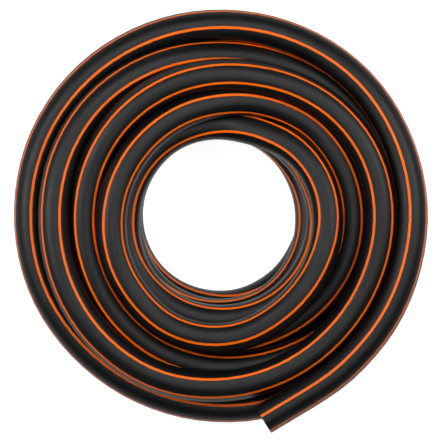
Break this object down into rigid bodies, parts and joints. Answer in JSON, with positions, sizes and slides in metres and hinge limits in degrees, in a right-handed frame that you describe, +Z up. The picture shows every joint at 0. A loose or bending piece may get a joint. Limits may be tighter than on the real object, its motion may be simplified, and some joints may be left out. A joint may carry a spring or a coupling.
{
  "type": "garden hose",
  "caption": "Reinforced water hose with square-cut ends and bright lengthwise stripes, wound into a flat round coil of piled loops.",
  "frame": {"origin": "middle of the bounding box seen from above, on the surface that the coil lies on", "axes": "+Z up, square to the flat of the coil; the cut free end lies towards -Y and opens towards -X"},
  "size_m": [0.3334, 0.3382, 0.1005],
  "materials": {
    "cover": "satin",
    "stripe": "satin",
    "yarn": "matte",
    "inner_tube": "smooth"
  },
  "bodies": {
    "root": {"wound_hose": "cover", "outer_cover": "cover", "yarn_reinforcement": "yarn", "inner_tube": "inner_tube", "stripe_1": "stripe", "stripe_2": "stripe", "stripe_3": "stripe", "stripe_4": "stripe", "stripe_5": "stripe"}
  },
  "joints": []
}
